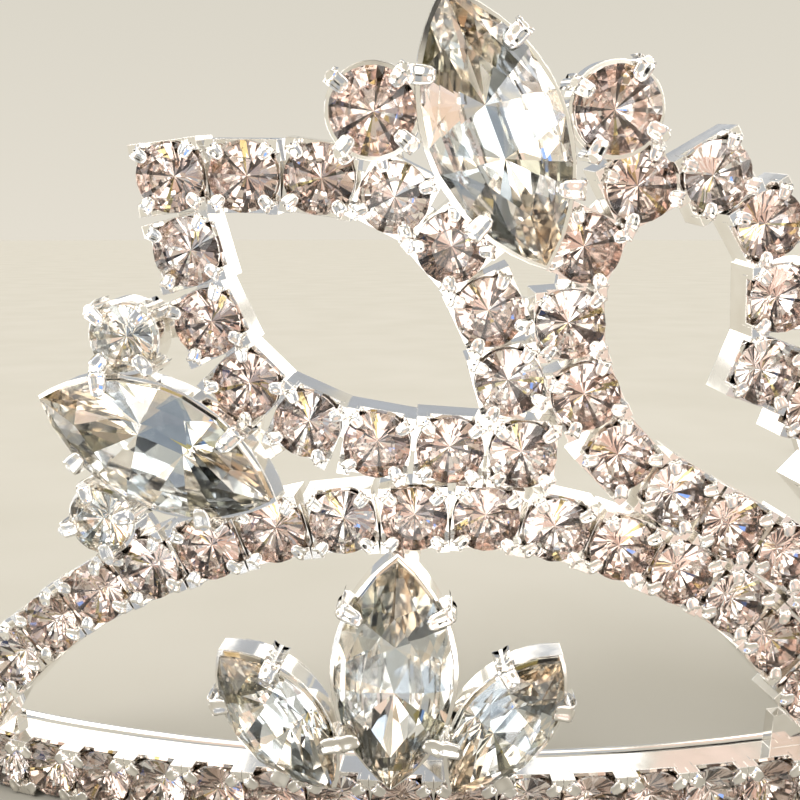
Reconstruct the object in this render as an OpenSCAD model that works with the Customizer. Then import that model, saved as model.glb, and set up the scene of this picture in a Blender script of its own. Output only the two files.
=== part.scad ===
// A pageant crown: soldered silver metalwork on a headband, set with round and navette stones.
// The front faces -Y and the crown stands on its foot row. Left is the viewer's left.
// The wall of the crown is a cone that leans outwards. Places on it are counted in links of the
// cup chain: across from the middle of the front, and up from the middle of the foot row.

/* [Crown] */
// Radius of the crown's wall at the foot, at the back of the cups
wall_r = 77.5; // [70:0.2:90]
// How far the wall leans outwards, in degrees
lean = 6; // [2:1:10]

/* [Headband] */
// Thickness of the headband strip
band_t = 2; // [1.4:0.1:3]
// Height of the headband strip
band_h = 4; // [3:0.1:6]
// Angle from the middle of the front to each end of the headband
band_reach = 106; // [90:1:120]

/* [Cup chain] */
// Side of a square cup
cup_side = 3.9; // [3.6:0.05:4.4]
// Depth of a cup, from its back to its rim
cup_depth = 1.8; // [1.6:0.1:3]
// Thickness of a cup's wall
cup_wall = 0.3; // [0.2:0.05:0.4]
// Height of the claws above a rim
claw_h = 0.7; // [0.5:0.1:1.2]
// Gap between two cups of a chain, where the link strip shows
link_gap = 0.2; // [0.1:0.05:0.4]
// Width of the link strip
link_w = 1.6; // [1:0.1:2.4]
// Thickness of the link strip
link_t = 0.6; // [0.4:0.1:0.8]
// Cups of the foot row on each side of the middle
row_half = 25; // [20:1:27]

/* [Round stones] */
// Diameter of a chain stone
stone_d = 3.8; // [3.4:0.05:4]
// Height of a stone's crown, from girdle to table
crown_h = 0.5; // [0.3:0.05:0.7]
// Height of a girdle
girdle_h = 0.2; // [0.1:0.05:0.3]
// Depth of a stone's pavilion, from girdle to point
pavilion_h = 1.4; // [1.2:0.05:1.6]
// Diameter of the large single stones
large_d = 4.5; // [4:0.1:4.8]
// Diameter of the small single stones
small_d = 3.8; // [3.4:0.1:4.2]

/* [Navette stones] */
// Length of a large navette stone
nav_l = 14.5; // [13:0.1:15.5]
// Width of a large navette stone
nav_w = 7; // [6:0.1:8]
// Length of a small navette stone
small_nav_l = 10.4; // [9:0.1:11]
// Width of a small navette stone
small_nav_w = 5.2; // [4.4:0.1:6]
// Height of a basket's collar, the part that stands above the chain stones
collar_h = 0.4; // [0.3:0.05:0.8]
// Height of the ring at the front of a basket, which holds the stone
ring_h = 1.5; // [1.3:0.1:1.7]
// How far a basket narrows behind its ring
step_in = 0.9; // [0.6:0.1:1]
// Thickness of a basket's wall
basket_wall = 0.45; // [0.4:0.05:0.6]
// Height of a navette's crown
nav_crown_h = 1.2; // [0.8:0.1:1.6]
// Depth of a navette's pavilion
nav_pavilion_h = 2.4; // [2:0.1:2.6]
// Radius of a basket's claw
claw_r = 0.3; // [0.25:0.05:0.4]

/* [Hidden] */
$fn = 48;
clearance = 0.1;
stone_sides = 8;
plate_t = 0.4;
link = cup_side + link_gap;
rim_in = cup_side / 2 - cup_wall;
claw_arm = rim_in / 2;
top_z = cup_depth + claw_h;
table_share = 0.58;
nav_table_share = 0.45;
// How far the wall of a basket stands outside and inside its stone's outline
lip = 0.25;
lap = lip - basket_wall;
// A stone sits above its rim until its pavilion clears the rim by the clearance
function seat(r, inner, depth) = max(depth * (1 - (inner - clearance) / r), clearance);
stone_z = cup_depth + seat(stone_d / 2, rim_in, pavilion_h);
stone_top = stone_z + girdle_h + crown_h;
// The collars of the baskets pass over the chain stones beside them
collar_z = max(stone_top, top_z) + clearance;
basket_depth = collar_z + collar_h;
// The back of a basket's ring
ring_z = basket_depth - ring_h;
// The height of the row's middle, so that its leaning cups just clear the surface the crown stands on
row_z = cup_side / 2 + top_z * tan(lean) + clearance;
// How far the strip reaches into the backs of the foot row's cups
band_seat = 0.15;
// Places closer than this, in links, are soldered together by a strip behind them
tie = 1.18;
setting_tie = 1.35;

// Chains of cups on the left half: the first cup's place in links, the heading of each link in degrees,
// 0 towards the middle and 90 up, the headings that square up the first and the last cup, and the step.
// The heart's step is a little longer than a link, as its cups open up round the tight bends.
arch = [[-13.1, 1.15], [48, 42, 36, 28, 22, 18, 10, 4, 0, -10, -18, -24, -30, -44], 62, -50, 1];
leaf_outer = [[-9.5, 9.2], [-78, -74, -58, -32, -16, -4, -4], 0, -4, 1];
leaf_inner = [[-8.5, 9.2], [-2, -14, -40, -58, -72], 0, -76, 1];
heart = [[-0.5, 6], [146, 84, 106, 142, 188, 230, 262, 286, 302, 326, 330, 332], 180, -36, 1.025];
// Where the two arches meet, the heart's point and the drop above it
middle_cups = [[0, 1.58], [0, 3.15], [0, 4.95]];
// Short feet that carry the arches on the foot row: middle, width and height in links
side_foot = [[-12.93, 0.53], 0.4, 0.22];
middle_foot = [[0, 0.74], 0.7, 0.6];

// Navettes: the seated tip in links, the heading of the other tip, the length and the width
top_nav = [[-4.62, 8.1], 112, nav_l, nav_w];
side_nav = [[-8.05, 4.9], 158, nav_l, nav_w];
fleur_middle = [[-6.4, 0.52], 88, nav_l, nav_w];
fleur_outer = [[-7.2, 0.52], 128, small_nav_l, small_nav_w];
fleur_inner = [[-5.5, 0.5], 54, small_nav_l, small_nav_w];
navettes = [top_nav, side_nav, fleur_middle, fleur_outer, fleur_inner];
// Single stones: place in links, diameter, and the turn of the claws
rounds = [
    [[-6.8, 10], large_d, 5],
    [[-3.82, 10.02], large_d, 17],
    [[-10.1, 7.1], small_d, 0],
    [[-10.55, 4.45], small_d, 60]
];

// Cup places along a chain, from one link's end to the next
function walk(p, hs, step, i = 0) =
    concat([p], i < len(hs) ? walk(p + step * [cos(hs[i]), sin(hs[i])], hs, step, i + 1) : []);
// The facing halfway between two headings, for a square that looks the same every 90 degrees
function halfway(a, b) = a + (((b - a) % 90 + 135) % 90 - 45) / 2;
function places(c) = walk(c[0], c[1], c[4]);
function facings(c) = [
    for (i = [0:len(c[1])])
        halfway(i == 0 ? c[2] : c[1][i - 1], i == len(c[1]) ? c[3] : c[1][i])
];
row_places = [for (i = [0:row_half - 1]) [-(i + 0.5) * cup_side / link, 0]];
half_places = concat(places(arch), places(leaf_outer), places(leaf_inner), places(heart));
far_places = [for (p = half_places) if (p[0] > -3) [-p[0], p[1]]];
all_places = concat(half_places, middle_cups, far_places);
// The crown's axis is set back so that the origin is in the middle of its depth
claw_out = (large_d / 2 + clearance + claw_r) / link;
front_place = rounds[1][0] + claw_out * [cos(rounds[1][2] + 45), sin(rounds[1][2] + 45)];
function wall_up(place) = row_z + place[1] * link;
function wall_at(place) = wall_r + wall_up(place) * sin(lean);
function wall_turn(place) = place[0] * link / (wall_at(place) + stone_z * cos(lean)) * 180 / PI;
front_reach = (wall_at(front_place) + (basket_depth + claw_h) * cos(lean)) * cos(wall_turn(front_place));
axis_y = (front_reach + (wall_r + band_seat) * cos(band_reach)) / 2;
// A navette's outline is two arcs that cross at its tips, and a round stone's is a circle
function arc_r(l, w) = (l * l + w * w) / (4 * w);
function arc_x(l, w) = arc_r(l, w) - w / 2;
function nav_middle(n) = n[0] + n[2] / 2 / link * [cos(n[1]), sin(n[1])];

// Sets children on the wall: x runs to the viewer's right, y up the wall, z outwards
module on_wall(place, turn = 0) {
    translate([0, axis_y, 0])
        rotate([0, 0, wall_turn(place)])
            translate([0, -wall_at(place), wall_up(place) * cos(lean)])
                rotate([90 + lean, 0, 0])
                    rotate([0, 0, turn])
                        children();
}

// A square cup, open to the front, with a claw at each corner
module cup() {
    difference() {
        translate([-cup_side / 2, -cup_side / 2, 0])
            cube([cup_side, cup_side, top_z]);
        translate([-rim_in, -rim_in, plate_t])
            cube([2 * rim_in, 2 * rim_in, top_z]);
        for (a = [0, 90])
            rotate([0, 0, a])
                translate([-cup_side, claw_arm / 2 - rim_in, cup_depth])
                    cube([2 * cup_side, 2 * rim_in - claw_arm, claw_h + 1]);
    }
}

// A cup whose claws are cut back from the stones beside it
module chain_cup(place, turn) {
    difference() {
        on_wall(place, turn) cup();
        for (q = all_places)
            if (norm(q - place) > 0.01 && norm(q - place) < tie)
                on_wall(q)
                    translate([0, 0, cup_depth - cup_wall])
                        cylinder(d = stone_d + 2 * clearance, h = 2 * claw_h + cup_wall);
    }
}

// The strip behind two neighbouring places
module strip(a, b) {
    d = b - a;
    on_wall((a + b) / 2, atan2(d[1], d[0]))
        translate([-norm(d) * link / 2, -link_w / 2, -link_t / 2])
            cube([norm(d) * link, link_w, link_t]);
}

module foot(f) {
    on_wall(f[0])
        translate([-f[1] * link / 2, -f[2] * link / 2, 0])
            cube([f[1] * link, f[2] * link, cup_depth / 2]);
}

module cup_chain(c) {
    p = places(c);
    f = facings(c);
    for (i = [0:len(p) - 1])
        chain_cup(p[i], f[i]);
}

// The outline of a navette with its long axis along y, grown or shrunk
module outline(l, w, more = 0) {
    intersection() {
        translate([arc_x(l, w), 0]) circle(r = arc_r(l, w) + more);
        translate([-arc_x(l, w), 0]) circle(r = arc_r(l, w) + more);
    }
}

// A basket that follows its stone's outline: a ring with four claws, and a narrower body behind it
module basket(l, w, claw_turn) {
    difference() {
        union() {
            linear_extrude(ring_z + basket_wall) outline(l, w, lip - step_in);
            translate([0, 0, ring_z]) linear_extrude(ring_h) outline(l, w, lip);
        }
        translate([0, 0, link_t]) linear_extrude(basket_depth) outline(l, w, lap - step_in);
        translate([0, 0, ring_z + basket_wall]) linear_extrude(ring_h) outline(l, w, lap);
    }
    for (side = [0, 180], a = [-claw_turn, claw_turn])
        rotate([0, 0, side])
            translate([-arc_x(l, w), 0, 0])
                rotate([0, 0, a])
                    translate([arc_r(l, w) + clearance + claw_r, 0, ring_z])
                        cylinder(r = claw_r, h = ring_h + claw_h);
}

// Cuts children back from the chain stones that they pass over or beside
module clear_of_stones(middle, reach) {
    difference() {
        children();
        for (q = concat(all_places, row_places))
            if (norm(q - middle) < reach)
                on_wall(q)
                    translate([0, 0, plate_t])
                        cylinder(d = stone_d + 2 * clearance, h = collar_z - plate_t);
    }
}

module nav_setting(n) {
    m = nav_middle(n);
    clear_of_stones(m, 2.6)
        on_wall(m, n[1] - 90) basket(n[2], n[3], 26);
    axis = n[2] / link * [cos(n[1]), sin(n[1])];
    for (f = [-0.3, 0, 0.3], q = concat(half_places, row_places))
        if (norm(q - m - f * axis) < setting_tie)
            strip(m + f * axis, q);
}

module round_setting(s) {
    clear_of_stones(s[0], 1.7)
        on_wall(s[0], s[2]) basket(s[1], s[1], 45);
    for (q = half_places)
        if (norm(q - s[0]) < setting_tie)
            strip(s[0], q);
}

// A cut stone with a table, a girdle and a point below, from its girdle's outline
module cut_stone(edge, share, crown, pavilion) {
    n = len(edge);
    polyhedron(
        points = concat(
            [for (q = edge) [q[0], q[1], 0]],
            [for (q = edge) [q[0], q[1], girdle_h]],
            [for (q = edge) [q[0] * share, q[1] * share, girdle_h + crown]],
            [[0, 0, -pavilion]]
        ),
        faces = concat(
            [[for (i = [n - 1:-1:0]) 2 * n + i]],
            [for (k = [0, 1], i = [0:n - 1])
                [k * n + i, (k + 1) * n + i, (k + 1) * n + (i + 1) % n, k * n + (i + 1) % n]],
            [for (i = [0:n - 1]) [3 * n, i, (i + 1) % n]]
        )
    );
}

module round_stone(d, sides) {
    edge = [for (i = [0.5:1:sides]) d / 2 * [cos(i * 360 / sides), sin(i * 360 / sides)]];
    cut_stone(edge, table_share, crown_h, pavilion_h);
}

module navette_stone(l, w) {
    half_turn = acos(arc_x(l, w) / arc_r(l, w));
    side = [for (k = [0:7]) arc_r(l, w) * [cos((k / 4 - 1) * half_turn), sin((k / 4 - 1) * half_turn)]
        - [arc_x(l, w), 0]];
    edge = concat(side, [for (q = side) -q]);
    cut_stone(edge, nav_table_share, nav_crown_h, nav_pavilion_h);
}

module stones_at(ps, fs) {
    for (i = [0:len(ps) - 1])
        on_wall(ps[i], fs[i]) translate([0, 0, stone_z]) round_stone(stone_d, stone_sides);
}

module chain_stones(c) {
    stones_at(places(c), facings(c));
}

module set_navette(n) {
    on_wall(nav_middle(n), n[1] - 90)
        translate([0, 0, basket_depth + seat(n[3] / 2, n[3] / 2 + lap, nav_pavilion_h)])
            navette_stone(n[2], n[3]);
}

module set_round(s) {
    on_wall(s[0], s[2])
        translate([0, 0, basket_depth + seat(s[1] / 2, s[1] / 2 + lap, pavilion_h)])
            round_stone(s[1], 2 * stone_sides);
}

// The room that a navette's pavilion needs among the cups beside its basket
module nav_room(n) {
    on_wall(nav_middle(n), n[1] - 90)
        translate([0, 0, basket_depth])
            navette_stone(n[2] + 2 * lap, n[3] + 2 * lap);
}

// The strip of the headband, flat below and rounded above
module headband() {
    translate([0, axis_y, 0])
        rotate([0, 0, -90 - band_reach])
            rotate_extrude(angle = 2 * band_reach)
                translate([wall_r + band_seat - band_t / 2, 0]) {
                    translate([-band_t / 2, 0]) square([band_t, band_h - band_t / 2]);
                    translate([0, band_h - band_t / 2]) circle(d = band_t);
                }
}

// The left half of the soldered work, without the headband
module half_frame() {
    difference() {
        union() {
            cup_chain(arch);
            cup_chain(leaf_outer);
            cup_chain(leaf_inner);
            cup_chain(heart);
        }
        nav_room(top_nav);
        nav_room(side_nav);
    }
    for (i = [0:len(half_places) - 2], j = [i + 1:len(half_places) - 1])
        if (norm(half_places[j] - half_places[i]) < tie)
            strip(half_places[i], half_places[j]);
    for (p = row_places)
        on_wall(p) cup();
    for (n = navettes)
        nav_setting(n);
    for (s = rounds)
        round_setting(s);
    foot(side_foot);
}

module silver_frame() {
    color([0.85, 0.86, 0.88]) {
        headband();
        half_frame();
        mirror([1, 0, 0]) half_frame();
        for (p = middle_cups)
            chain_cup(p, 45);
        for (p = middle_cups, q = all_places)
            if (norm(q - p) > 0.01 && norm(q - p) < tie)
                strip(p, q);
        strip([-0.5, 6], [0.5, 6]);
        foot(middle_foot);
    }
}

// Shows its children, mirrored for the right half
module on_side(left) {
    color([0.9, 0.92, 0.95])
        if (left)
            children();
        else
            mirror([1, 0, 0]) children();
}

module foot_row_stones() {
    for (left = [true, false])
        on_side(left) stones_at(row_places, [for (p = row_places) 0]);
}

module leaf_stones() {
    chain_stones(leaf_outer);
    chain_stones(leaf_inner);
}

module heart_stones() {
    for (left = [true, false])
        on_side(left) chain_stones(heart);
    on_side(true) stones_at(middle_cups, [for (p = middle_cups) 45]);
}

silver_frame();
foot_row_stones();
on_side(true) chain_stones(arch);  // left_arch_stones
on_side(false) chain_stones(arch);  // right_arch_stones
on_side(true) leaf_stones();  // left_leaf_stones
on_side(false) leaf_stones();  // right_leaf_stones
heart_stones();
on_side(true) set_navette(top_nav);  // left_top_navette
on_side(false) set_navette(top_nav);  // right_top_navette
on_side(true) set_navette(side_nav);  // left_side_navette
on_side(false) set_navette(side_nav);  // right_side_navette
on_side(true) set_navette(fleur_middle);  // left_fleur_middle
on_side(false) set_navette(fleur_middle);  // right_fleur_middle
on_side(true) set_navette(fleur_outer);  // left_fleur_outer
on_side(false) set_navette(fleur_outer);  // right_fleur_outer
on_side(true) set_navette(fleur_inner);  // left_fleur_inner
on_side(false) set_navette(fleur_inner);  // right_fleur_inner
on_side(true) set_round(rounds[0]);  // left_round_1
on_side(false) set_round(rounds[0]);  // right_round_1
on_side(true) set_round(rounds[1]);  // left_round_2
on_side(false) set_round(rounds[1]);  // right_round_2
on_side(true) set_round(rounds[2]);  // left_round_3
on_side(false) set_round(rounds[2]);  // right_round_3
on_side(true) set_round(rounds[3]);  // left_round_4
on_side(false) set_round(rounds[3]);  // right_round_4
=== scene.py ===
"""Looks of a pageant crown: bright silver plated cup chain and baskets with foil-backed cut stones."""

import math

import bmesh
import bpy
from mathutils import Matrix, Quaternion, Vector


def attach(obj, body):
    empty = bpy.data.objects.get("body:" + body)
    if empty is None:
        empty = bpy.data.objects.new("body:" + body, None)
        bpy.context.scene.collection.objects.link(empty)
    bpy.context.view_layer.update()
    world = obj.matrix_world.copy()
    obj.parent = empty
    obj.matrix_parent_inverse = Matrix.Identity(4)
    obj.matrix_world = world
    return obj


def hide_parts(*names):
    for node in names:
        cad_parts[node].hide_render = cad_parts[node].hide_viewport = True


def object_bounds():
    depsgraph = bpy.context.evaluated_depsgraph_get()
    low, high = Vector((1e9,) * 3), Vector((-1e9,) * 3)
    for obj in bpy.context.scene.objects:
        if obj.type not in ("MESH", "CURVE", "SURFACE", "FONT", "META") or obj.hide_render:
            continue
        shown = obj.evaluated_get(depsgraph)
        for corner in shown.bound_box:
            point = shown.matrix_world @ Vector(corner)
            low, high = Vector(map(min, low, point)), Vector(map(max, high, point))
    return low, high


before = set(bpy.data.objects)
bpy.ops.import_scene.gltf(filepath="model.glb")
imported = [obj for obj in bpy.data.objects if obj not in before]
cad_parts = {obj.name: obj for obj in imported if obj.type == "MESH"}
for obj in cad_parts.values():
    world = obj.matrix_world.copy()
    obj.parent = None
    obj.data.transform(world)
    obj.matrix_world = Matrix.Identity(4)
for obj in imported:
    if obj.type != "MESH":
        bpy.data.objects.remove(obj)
cad_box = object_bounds()

# Soldered frame
# Cup chain and pressed baskets are soldered together on a flat strip and plated bright silver.
# It is the CAD solid itself, polished, with the plating rounding off its edges.


def colour(code):
    """Linear colour from an sRGB hex code."""
    parts = [int(code[i : i + 2], 16) / 255 for i in (1, 3, 5)]
    return [c / 12.92 if c <= 0.04045 else ((c + 0.055) / 1.055) ** 2.4 for c in parts] + [1]


def add_node(material, kind, settings, links=()):
    """Adds a shader node, sets its values or options, and links sockets into its inputs."""
    node = material.node_tree.nodes.new(kind)
    for key, value in settings.items():
        if key in node.inputs:
            node.inputs[key].default_value = value
        else:
            setattr(node, key, value)
    for key, socket in links:
        material.node_tree.links.new(socket, node.inputs[key])
    return node


def new_material(name, **settings):
    """A material whose main shader has these settings."""
    material = bpy.data.materials.new(name)
    material.use_nodes = True
    shader = material.node_tree.nodes["Principled BSDF"]
    for key, value in settings.items():
        shader.inputs[key.replace("_", " ")].default_value = value
    return material, shader


def uneven(material, shader, patch, smooth, rough, one, other):
    """Lets the polish and the colour drift over the surface, in patches of that many millimetres."""
    place = add_node(material, "ShaderNodeTexCoord", {})
    noise = add_node(
        material,
        "ShaderNodeTexNoise",
        {"Scale": 1000 / patch, "Detail": 2},
        [("Vector", place.outputs["Object"])],
    )
    least, most = 0.3, 0.7
    limits = {"From Min": least, "From Max": most, "To Min": smooth, "To Max": rough}
    polish = add_node(material, "ShaderNodeMapRange", limits, [("Value", noise.outputs["Fac"])])
    tone = add_node(material, "ShaderNodeValToRGB", {}, [("Fac", noise.outputs["Fac"])])
    for stop, at, code in zip(tone.color_ramp.elements, (least, most), (one, other)):
        stop.position = at
        stop.color = colour(code)
    material.node_tree.links.new(polish.outputs["Result"], shader.inputs["Roughness"])
    material.node_tree.links.new(tone.outputs["Color"], shader.inputs["Base Color"])
    return noise.outputs["Fac"]


# Bright silver plating over polished brass: a clear mirror, a little softer in some patches, with
# the faint waves that buffing leaves. The plating rounds off every edge, so each one catches light.
silver, silver_shader = new_material("silver plating", Metallic=1)
buffing = uneven(silver, silver_shader, patch=2.8, smooth=0.05, rough=0.13, one="#fbfaf8", other="#ebe7e1")
plating_round = 0.00008
rounded = add_node(silver, "ShaderNodeBevel", {"samples": 4, "Radius": plating_round})
waves = add_node(
    silver,
    "ShaderNodeBump",
    {"Strength": 0.12, "Distance": 0.0001},
    [("Height", buffing), ("Normal", rounded.outputs["Normal"])],
)
silver.node_tree.links.new(waves.outputs["Normal"], silver_shader.inputs["Normal"])

silver_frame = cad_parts["silver_frame"]
silver_frame.data.materials.clear()
silver_frame.data.materials.append(silver)

# Claws of the square cups
# Each corner of a cup runs out into a narrow tongue, pressed with a groove and folded over the stone.
# They are pressed brass, plated with the cups, and hold the stone by its crown.

# Millimetres: the wall that the cups stand on, its lean, the spacing and side of the cups, the height
# of the foot row, how far a stone's edge stands off the wall, and the headband strip with its ends.
wall_r = 77.5
lean = math.radians(6)
link = 4.1
cup_side = 3.9
row_up = 2.313
stone_out = 2.058
strip_r = 77.65
strip_end = math.radians(74)
axis_y = cad_box[1].y * 1000 - strip_r * math.cos(strip_end)

# Each chain of the left half: its first cup, counted in links from the middle of the foot row, the
# headings of its links in degrees, the headings that its end cups turn to, and its step in links.
arch = [(-13.1, 1.15), [48, 42, 36, 28, 22, 18, 10, 4, 0, -10, -18, -24, -30, -44], 62, -50, 1]
leaf_outer = [(-9.5, 9.2), [-78, -74, -58, -32, -16, -4, -4], 0, -4, 1]
leaf_inner = [(-8.5, 9.2), [-2, -14, -40, -58, -72], 0, -76, 1]
heart = [(-0.5, 6.0), [146, 84, 106, 142, 188, 230, 262, 286, 302, 326, 330, 332], 180, -36, 1.025]


def on_wall(place, turn):
    """Matrix that sets a millimetre mesh on the crown's wall, x to the right, y up and z outwards."""
    up = row_up + place[1] * link
    out = wall_r + up * math.sin(lean)
    across = place[0] * link / (out + stone_out * math.cos(lean))
    return (
        Matrix.Scale(0.001, 4)
        @ Matrix.Translation((0, axis_y, 0))
        @ Matrix.Rotation(across, 4, "Z")
        @ Matrix.Translation((0, -out, up * math.cos(lean)))
        @ Matrix.Rotation(math.radians(90) + lean, 4, "X")
        @ Matrix.Rotation(math.radians(turn), 4, "Z")
    )


def along(chain):
    """Place and facing of each cup of a chain on the left half, turned half-way between its links."""
    (x, y), headings, first, last, step = chain
    turns = [first, *headings, last]
    cups = []
    for before, after in zip(turns, turns[1:]):
        cups.append(((x, y), before + (((after - before) % 90 + 135) % 90 - 45) / 2))
        x += step * math.cos(math.radians(after))
        y += step * math.sin(math.radians(after))
    return cups


def mirrored(cups):
    """The mirror images of the cups on the right half."""
    return [((-x, y), -turn) for (x, y), turn in cups]


def both_sides(cups):
    """The cups and their mirror images."""
    return [*cups, *mirrored(cups)]


row_half_count = 25
row = [((-(i + 0.5) * cup_side / link, 0), 0) for i in range(row_half_count)]
middle_cups = [((0, y), 45) for y in (1.58, 3.15, 4.95)]
square_cups = both_sides([*row, *along(arch), *along(leaf_outer), *along(leaf_inner), *along(heart)])
square_cups += middle_cups


def bent_tongue(name, path, width, thick, groove):
    """A tongue bent along (outwards, up) points, narrowing to a round tip, grooved along its middle."""
    narrowing, tip_share, tip_round, groove_half = 0.15, 0.2, 0.75, 0.55
    mesh = bmesh.new()
    bmesh.ops.create_grid(mesh, x_segments=10, y_segments=6, size=1)
    for vertex in mesh.verts:
        run = (vertex.co.x + 1) / 2 * (len(path) - 1)
        i = min(int(run), len(path) - 2)
        a, b = Vector(path[i]), Vector(path[i + 1])
        spot = a.lerp(b, run - i)
        side = vertex.co.y
        share = run / (len(path) - 1)
        in_tip = max(0, (share - (1 - tip_share)) / tip_share)
        half = width / 2 * (1 - narrowing * share) * math.sqrt(max(1 - in_tip**2 * tip_round, 0))
        normal = Vector((b.y - a.y, a.x - b.x)).normalized()
        sink = groove * max(0, 1 - (side / groove_half) ** 2) * min(1, 6 * (1 - share))
        spot -= normal * sink
        vertex.co = (spot.x, side * half, spot.y)
    bmesh.ops.solidify(mesh, geom=mesh.faces[:], thickness=thick)
    bmesh.ops.recalc_face_normals(mesh, faces=mesh.faces[:])
    # Solidify leaves the faces of the rim in a chance order, so they are put in order of place.
    mesh.faces.sort(key=lambda face: face.calc_center_median().dot(Vector((1, 7, 31))))
    for face in mesh.faces:
        face.smooth = True
    template = bpy.data.meshes.new(name)
    mesh.to_mesh(template)
    mesh.free()
    return template


def stamp(target, template, matrix):
    """Adds a copy of a template mesh to the target at that place."""
    copy = template.copy()
    copy.transform(matrix)
    target.from_mesh(copy)
    bpy.data.meshes.remove(copy)


def add_piece(name, mesh, materials, stands_for=()):
    """Turns a finished mesh into a piece of the crown."""
    data = bpy.data.meshes.new(name)
    mesh.to_mesh(data)
    mesh.free()
    for material in materials:
        data.materials.append(material)
    piece = bpy.data.objects.new(name, data)
    bpy.context.scene.collection.objects.link(piece)
    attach(piece, "root")
    if stands_for:
        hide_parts(*stands_for)
    return piece


cup_claw = bent_tongue(
    "cup claw",
    [(2.38, 1.5), (2.4, 2.3), (2.32, 2.6), (2.15, 2.75), (1.92, 2.76), (1.68, 2.7), (1.42, 2.66)],
    width=0.8,
    thick=0.14,
    groove=0.1,
)
claws = bmesh.new()
for place, facing in square_cups:
    for corner in (45, 135, 225, 315):
        stamp(claws, cup_claw, on_wall(place, facing) @ Matrix.Rotation(math.radians(corner), 4, "Z"))
add_piece("cup_claws", claws, [silver])

# Round stones of the chains
# Machine-cut lead glass chatons, 3.8 mm across, with a mirror foil and lacquer on the pavilion, tinted
# facet by facet with painted reflections and painted shade.
# Each chain's stones are one piece, because the chain is bought ready set.
chain_stone_width = 3.8
girdle = 0.2
chaton_crown = 0.5
chaton_pavilion = 1.4

# Machine-polished lead glass: clear and water-white, with a little less polish in places.
crystal, crystal_shader = new_material("lead crystal", IOR=1.58, Transmission_Weight=1)
uneven(crystal, crystal_shader, patch=2, smooth=0.0, rough=0.02, one="#ffffff", other="#fbfdff")


def foil(name, one, other):
    """Mirror foil and lacquer, brushed on behind a facet: a bright mirror, tinted to paint the reflection
    that the facet shows, and dark where it paints shade.
    """
    material, shader = new_material(name, Metallic=1)
    uneven(material, shader, patch=1.4, smooth=0.03, rough=0.08, one=one, other=other)
    return material


# These foils are painted reflections: tan, blush and olive tints for warm surroundings, white for the bare
# mirror, and the dark foil is painted shade.
warm_painted_reflection_foils = {
    "tan": foil("tan painted reflection foil", "#efe2db", "#eadad2"),
    "blush": foil("blush painted reflection foil", "#f6eeea", "#f2e6e0"),
    "dark": foil("painted shade foil", "#746b68", "#665e5a"),
    "olive": foil("olive painted reflection foil", "#c2b686", "#b9ac7c"),
    "white": foil("white foil", "#ffffff", "#fbf9f7"),
}


def cut_gem(name, corners, foils, order):
    """The gem between its corner points, with the named foils, painted reflections and painted shade, on
    its lower facets, in order round it.
    """
    mesh = bmesh.new()
    for corner in corners:
        mesh.verts.new(corner)
    bmesh.ops.convex_hull(mesh, input=mesh.verts[:])
    flat = math.radians(0.5)
    bmesh.ops.dissolve_limit(mesh, angle_limit=flat, verts=mesh.verts[:], edges=mesh.edges[:])
    bmesh.ops.recalc_face_normals(mesh, faces=mesh.faces[:])
    below = [face for face in mesh.faces if face.normal.z < -0.1]
    below.sort(key=lambda face: math.atan2(face.calc_center_median().y, face.calc_center_median().x))
    order = order.split()
    for i, face in enumerate(below):
        face.material_index = 1 + list(foils).index(order[i % len(order)])
    template = bpy.data.meshes.new(name)
    mesh.to_mesh(template)
    mesh.free()
    for material in (crystal, *foils.values()):
        template.materials.append(material)
    return template


def chaton(name, width, foils, order):
    """A round stone: a table inside eight stars and eight kites, and wide and narrow facets below."""
    r = width / 2
    table = (0, 0.6, girdle + chaton_crown)
    kite = (22.5, 0.82, girdle + 0.56 * chaton_crown)
    corners = [(0, 0, -chaton_pavilion)]
    for i in range(8):
        for turn, reach, height in (table, kite):
            a = math.radians(45 * i + turn)
            corners.append((reach * r * math.cos(a), reach * r * math.sin(a), height))
        for turn in (4, 22.5, 33):
            a = math.radians(45 * i + turn)
            corners += [(r * math.cos(a), r * math.sin(a), height) for height in (0, girdle)]
    return cut_gem(name, corners, foils, order)


# Orders of painted reflections and painted shade round the lower facets; the pale order has more white, so
# its stones look paler.
rosy = (
    "tan dark tan blush olive tan tan dark blush tan white tan"
    " blush dark tan tan dark tan blush tan tan tan dark blush"
)
pale = (
    "blush dark white tan white blush white tan blush dark dark white"
    " tan olive blush white dark tan blush tan white tan dark white"
)
rosy_stone = chaton("rosy stone", chain_stone_width, warm_painted_reflection_foils, rosy)
pale_stone = chaton("pale stone", chain_stone_width, warm_painted_reflection_foils, pale)


def set_stones(name, cups, *stands_for):
    """One piece with a stone in each cup, every third one with paler painted reflections, each turned as
    it fell into its cup.
    """
    mesh = bmesh.new()
    for i, (place, facing) in enumerate(cups):
        spot = on_wall(place, facing) @ Matrix.Translation((0, 0, stone_out))
        gem = pale_stone if i % 3 == 1 else rosy_stone
        stamp(mesh, gem, spot @ Matrix.Rotation(2 * i, 4, "Z"))
    return add_piece(name, mesh, [crystal, *warm_painted_reflection_foils.values()], stands_for)


set_stones("foot_row_crystals", both_sides(row), "foot_row_stones")
set_stones("left_arch_crystals", along(arch), "left_arch_stones")
set_stones("right_arch_crystals", mirrored(along(arch)), "right_arch_stones")
leaf = [*along(leaf_outer), *along(leaf_inner)]
set_stones("left_leaf_crystals", leaf, "left_leaf_stones")
set_stones("right_leaf_crystals", mirrored(leaf), "right_leaf_stones")
set_stones("heart_crystals", [*both_sides(along(heart)), *middle_cups], "heart_stones")

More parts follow.
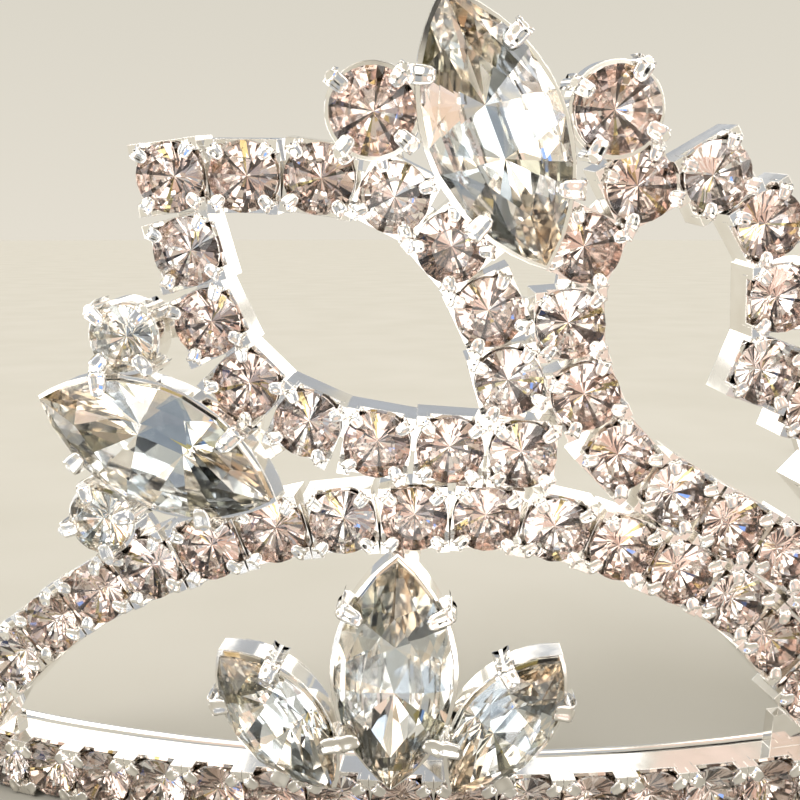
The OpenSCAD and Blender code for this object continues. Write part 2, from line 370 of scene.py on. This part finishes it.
# Large pointed stones
# Navette-cut lead glass with a long table, a keel below and a silver foil, each in a pressed basket. The
# foil of each lower facet is tinted with a painted reflection, slate where it paints shade.
# Four claws at the basket's sides are folded over the crown of each one.
large_size, small_size = (14.5, 7.0), (10.4, 5.2)
navette_crown = 1.2
navette_pavilion = 2.4
basket_depth = 3.258
rim_inset = 0.3
# These foils are painted reflections: pearl, ice, moss and sand tints for the surroundings, white for the
# bare mirror, and the slate foil is painted shade.
cool_painted_reflection_foils = {
    "pearl": foil("pearl painted reflection foil", "#fcf7ef", "#f7f0e5"),
    "white": foil("bright foil", "#ffffff", "#fbfaf8"),
    "ice": foil("ice painted reflection foil", "#dde2e5", "#d2d8dc"),
    "slate": foil("slate painted shade foil", "#a0a6aa", "#92989c"),
    "moss": foil("moss painted reflection foil", "#b0ad9c", "#a5a18f"),
    "sand": foil("sand painted reflection foil", "#eadac6", "#e0cfba"),
}


def arc_radius(length, width):
    """Radius of each side of a pointed stone."""
    return (length**2 + width**2) / (4 * width)


def navette(name, length, width):
    """A pointed stone: a long table, two rows of facets above, and long wedges below."""
    arc = arc_radius(length, width)
    middle = arc - width / 2
    half_turn = math.acos(middle / arc)
    keel = 0.97 * navette_pavilion
    corners = [(0, 0.1 * length, -keel), (0, -0.1 * length, -keel)]

    def edge(side, share):
        a = share * half_turn
        return side * (arc * math.cos(a) - middle), side * arc * math.sin(a)

    for side in (1, -1):
        for share in (-1, -0.8, -0.52, -0.34, -0.06, 0.1, 0.4, 0.62, 0.84):
            x, y = edge(side, share)
            corners += [(x, y, 0), (x, y, girdle)]
        for share in (-1, -0.45, 0, 0.45):
            x, y = edge(side, share)
            corners.append((0.52 * x, 0.6 * y, girdle + navette_crown))
        for share in (-0.75, -0.22, 0.22, 0.75):
            x, y = edge(side, share)
            corners.append((0.82 * x, 0.82 * y, girdle + 0.62 * navette_crown))
    # Painted reflections and painted shade in order round the lower facets.
    order = (
        "pearl ice pearl slate pearl sand white moss pearl"
        " ice pearl white slate pearl sand pearl moss white"
    )
    return cut_gem(name, corners, cool_painted_reflection_foils, order)


# Each stone of the left half: its seated tip in links, the heading of its other tip, and its size.
navettes = {
    "top_navette": ((-4.62, 8.1), 112, large_size),
    "side_navette": ((-8.05, 4.9), 158, large_size),
    "fleur_middle": ((-6.4, 0.52), 88, large_size),
    "fleur_outer": ((-7.2, 0.52), 128, small_size),
    "fleur_inner": ((-5.5, 0.5), 54, small_size),
}
navette_cuts = {
    large_size: navette("large navette", *large_size),
    small_size: navette("small navette", *small_size),
}
basket_claw = bent_tongue(
    "basket claw",
    [(0.74, 1.9), (0.78, 3.3), (0.72, 3.85), (0.45, 4.12), (0.1, 4.14), (-0.3, 4.16), (-0.75, 4.36)],
    width=1.1,
    thick=0.16,
    groove=0.1,
)
basket_claws = bmesh.new()


def fold_claws(matrix, length, width, angle, template):
    """Four claws folded over the edge of a stone in a basket, at that angle to its waist."""
    arc = arc_radius(length, width)
    for side in (0, 180):
        for a in (-angle, angle):
            spot = (
                matrix
                @ Matrix.Rotation(math.radians(side), 4, "Z")
                @ Matrix.Translation((width / 2 - arc, 0, 0))
                @ Matrix.Rotation(math.radians(a), 4, "Z")
                @ Matrix.Translation((arc, 0, 0))
            )
            stamp(basket_claws, template, spot)


for name, (tip, heading, (length, width)) in navettes.items():
    x = tip[0] + length / 2 / link * math.cos(math.radians(heading))
    y = tip[1] + length / 2 / link * math.sin(math.radians(heading))
    rise = basket_depth + navette_pavilion * rim_inset / (width / 2)
    for side, place, turn in (("left", (x, y), heading - 90), ("right", (-x, y), 90 - heading)):
        mesh = bmesh.new()
        seat = on_wall(place, turn)
        stamp(mesh, navette_cuts[length, width], seat @ Matrix.Translation((0, 0, rise)))
        add_piece(
            f"{side}_{name}_crystal",
            mesh,
            [crystal, *cool_painted_reflection_foils.values()],
            [f"{side}_{name}"],
        )
        fold_claws(seat, length, width, 26, basket_claw)

# Single round stones
# Larger chatons with warm painted reflections and smaller ones with cooler, whiter painted reflections, of
# foiled lead glass, soldered beside the pointed stones.
# Each sits in its own round cup, with four claws folded over it.
# Order of the cool painted reflections and painted shade round the lower facets.
clear = (
    "pearl slate white pearl sand pearl white moss ice pearl white ice"
    " slate pearl pearl ice white pearl slate white sand pearl ice moss pearl"
)
large_round = chaton("large single stone", 4.5, warm_painted_reflection_foils, rosy)
small_round = chaton("small single stone", 3.8, cool_painted_reflection_foils, clear)
# Each stone of the left half: its place in links, its width, its claws' turn, its cut and its foils.
rounds = [
    ((-6.8, 10), 4.5, 5, large_round, warm_painted_reflection_foils),
    ((-3.82, 10.02), 4.5, 17, large_round, warm_painted_reflection_foils),
    ((-10.1, 7.1), 3.8, 0, small_round, cool_painted_reflection_foils),
    ((-10.55, 4.45), 3.8, 60, small_round, cool_painted_reflection_foils),
]
round_claw = bent_tongue(
    "round claw",
    [(0.6, 1.9), (0.64, 3.3), (0.58, 3.85), (0.3, 4.06), (0, 4.06), (-0.35, 4.04), (-0.62, 4.1)],
    width=0.95,
    thick=0.14,
    groove=0.08,
)
for i, (place, width, turn, gem, foils) in enumerate(rounds, 1):
    rise = basket_depth + chaton_pavilion * rim_inset / (width / 2)
    for side, (x, y), twist in (("left", place, turn), ("right", (-place[0], place[1]), -turn)):
        mesh = bmesh.new()
        seat = on_wall((x, y), twist)
        stamp(mesh, gem, seat @ Matrix.Translation((0, 0, rise)))
        add_piece(
            f"{side}_round_{i}_crystal",
            mesh,
            [crystal, *foils.values()],
            [f"{side}_round_{i}"],
        )
        fold_claws(seat, width, width, 45, round_claw)
add_piece("basket_claws", basket_claws, [silver])

# Studio
# Plain pale floor in matt paint, which shows no reflection, and soft light from above.
# Glowing paper cards all round give the metal and the stones something bright and dark to mirror.
floor_paint, floor_shader = new_material("pale floor", Specular_IOR_Level=0)
uneven(floor_paint, floor_shader, patch=25, smooth=0.6, rough=0.75, one="#e0ddd6", other="#dbd8d0")
ground = bmesh.new()
bmesh.ops.create_circle(ground, cap_ends=True, segments=64, radius=4)
floor_data = bpy.data.meshes.new("floor")
ground.to_mesh(floor_data)
ground.free()
floor_data.materials.append(floor_paint)
floor = bpy.data.objects.new("floor", floor_data)
bpy.context.scene.collection.objects.link(floor)

world = bpy.data.worlds.new("studio air")
bpy.context.scene.world = world
world.use_nodes = True
air = world.node_tree.nodes["Background"]
air.inputs["Strength"].default_value = 1
way = add_node(world, "ShaderNodeTexCoord", {})
height = add_node(world, "ShaderNodeSeparateXYZ", {}, [("Vector", way.outputs["Generated"])])
climb = add_node(world, "ShaderNodeMapRange", {"From Max": 0.2}, [("Value", height.outputs["Z"])])
fade = add_node(
    world,
    "ShaderNodeMixRGB",
    {"Color1": colour("#e4ded1"), "Color2": colour("#dbd6c9")},
    [("Fac", climb.outputs[0])],
)
world.node_tree.links.new(fade.outputs[0], air.inputs["Color"])

# The point that the lights and cards face, in the middle of the front
front_y, front_z = -0.04, 0.02


def aim(thing, spot):
    """Places a thing so that its -Z looks at the front of the crown."""
    thing.location = spot
    thing.rotation_mode = "QUATERNION"
    facing = Vector((0, front_y, front_z)) - Vector(spot)
    thing.rotation_quaternion = facing.to_track_quat("-Z", "Y")


def soft_light(name, spot, strength, wide, code):
    """A soft light from far off in that direction, as wide in the sky as this many degrees."""
    lamp = bpy.data.lights.new(name, "SUN")
    lamp.energy = strength
    lamp.angle = math.radians(wide)
    lamp.color = colour(code)[:3]
    light = bpy.data.objects.new(name, lamp)
    bpy.context.scene.collection.objects.link(light)
    aim(light, spot)


# Each paper's colour and glow
papers = {
    "tan": ("#d8c3b6", 1.4),
    "dark": ("#26272c", 0.5),
    "white": ("#fffdf8", 2.8),
    "olive": ("#b0a164", 1.4),
    "blue": ("#6f97e0", 2.0),
    "grey": ("#b4b8be", 1.0),
}


def card(name, spot, size, paper):
    """A glowing paper card that only shows in the metal and the stones."""
    code, glow = papers[paper]
    sheet_paint, shader = new_material(name, Base_Color=colour("#000000"), Roughness=1)
    shader.inputs["Emission Color"].default_value = colour(code)
    shader.inputs["Emission Strength"].default_value = glow
    sheet = bmesh.new()
    bmesh.ops.create_grid(sheet, x_segments=1, y_segments=1, size=0.5)
    data = bpy.data.meshes.new(name)
    sheet.to_mesh(data)
    sheet.free()
    data.transform(Matrix.Diagonal((*size, 1, 1)))
    data.materials.append(sheet_paint)
    thing = bpy.data.objects.new(name, data)
    bpy.context.scene.collection.objects.link(thing)
    aim(thing, spot)
    thing.visible_camera = False
    thing.visible_shadow = False
    thing.visible_diffuse = False
    return thing


# Tiers of cards round the crown: the height of each in degrees, and its papers from the front round
dome_r = 0.9
card_high = 0.24
cover = 0.75
tiers = [
    (5, "white white tan white white tan grey white grey grey white white grey white blue tan grey dark"),
    (22, "white tan dark white tan grey white grey white white grey olive white white tan grey"),
    (42, "white white dark grey tan grey white grey white white olive dark"),
    (66, "white dark grey tan grey dark white"),
]
for tier, (height, order) in enumerate(tiers):
    order = order.split()
    lift = math.radians(height)
    for i, paper in enumerate(order):
        bearing = math.tau * (i + 0.3 * tier) / len(order)
        reach = dome_r * math.cos(lift)
        spot = (
            reach * math.sin(bearing),
            front_y - reach * math.cos(bearing),
            front_z + dome_r * math.sin(lift),
        )
        wide = cover * math.tau * reach / len(order)
        card(f"card {tier} {i}", spot, (wide, card_high), paper)

# A fan of cards flat on the floor before the crown, from the left round to the right
fan_r = 0.22
fan_y = 0.03
fan_step = 18
fan_size = (0.055, 0.25)
fan = "tan white white white grey white tan grey tan dark white white tan".split()
for i, paper in enumerate(fan):
    bearing = math.radians(fan_step * (i - len(fan) // 2))
    spot = (fan_r * math.sin(bearing), fan_y - fan_r * math.cos(bearing), 0.001)
    low_card = card(f"low card {i}", spot, fan_size, paper)
    low_card.rotation_quaternion = Quaternion((0, 0, 1), bearing)

soft_light("upper left light", (-0.8, -0.7, 1.0), 0.9, 30, "#fffaf2")
soft_light("upper right light", (0.9, -0.6, 0.8), 0.5, 24, "#f2f6ff")
soft_light("back light", (0.1, 1.0, 0.9), 0.4, 40, "#ffffff")

# Camera
# As in the photograph: close to the left half of the front, a little above the crown's middle.
# It looks to the right and slightly down.
camera_data = bpy.data.cameras.new("camera")
camera = bpy.data.objects.new("camera", camera_data)
bpy.context.scene.collection.objects.link(camera)
bpy.context.scene.camera = camera
camera_data.lens = 49.8
camera_data.sensor_width = 36
camera_data.clip_start = 0.001
camera.location = Vector((-41.6, axis_y - 136.6, 36.8)) * 0.001
bearing, dip = math.radians(15.25), math.radians(8.75)
ahead = Vector((math.sin(bearing) * math.cos(dip), math.cos(bearing) * math.cos(dip), -math.sin(dip)))
camera.rotation_mode = "QUATERNION"
camera.rotation_quaternion = ahead.to_track_quat("-Z", "Y")

scene = bpy.context.scene
scene.view_settings.view_transform = "Standard"
scene.cycles.max_bounces = 16
scene.cycles.transmission_bounces = 12
scene.cycles.glossy_bounces = 10
scene.cycles.caustics_reflective = False
scene.cycles.caustics_refractive = False
